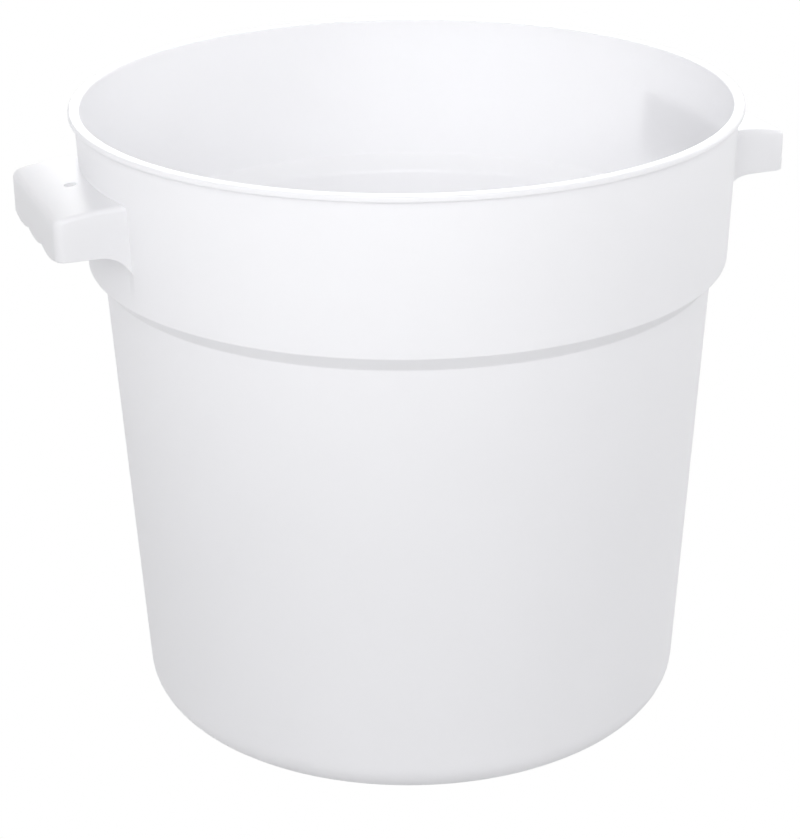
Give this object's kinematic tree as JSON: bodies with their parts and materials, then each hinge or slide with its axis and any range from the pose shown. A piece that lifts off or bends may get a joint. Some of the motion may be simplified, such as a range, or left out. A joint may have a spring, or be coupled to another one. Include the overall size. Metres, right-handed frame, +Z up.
{
  "type": "dough proofing container",
  "caption": "Round tapered food tub in translucent plastic with a stacking shoulder, a wide lid rim and carrying handles on the left and right, each open underneath with a drain hole",
  "frame": {"origin": "on the table, under the centre of the tub", "axes": "+Z up, +X to the right through both handles, +Y to the back"},
  "size_m": [0.374, 0.327, 0.312],
  "materials": {
    "natural_plastic": "translucent natural polypropylene, fine satin moulded surface"
  },
  "bodies": {
    "root": {"floor_panel": "natural_plastic", "foot_ring": "natural_plastic", "heel": "natural_plastic", "lower_wall": "natural_plastic", "stacking_shoulder": "natural_plastic", "upper_band": "natural_plastic", "rim": "natural_plastic", "left_handle_top": "natural_plastic", "left_handle_grip": "natural_plastic", "left_handle_front_end": "natural_plastic", "left_handle_back_end": "natural_plastic", "right_handle_top": "natural_plastic", "right_handle_grip": "natural_plastic", "right_handle_front_end": "natural_plastic", "right_handle_back_end": "natural_plastic"}
  },
  "joints": []
}
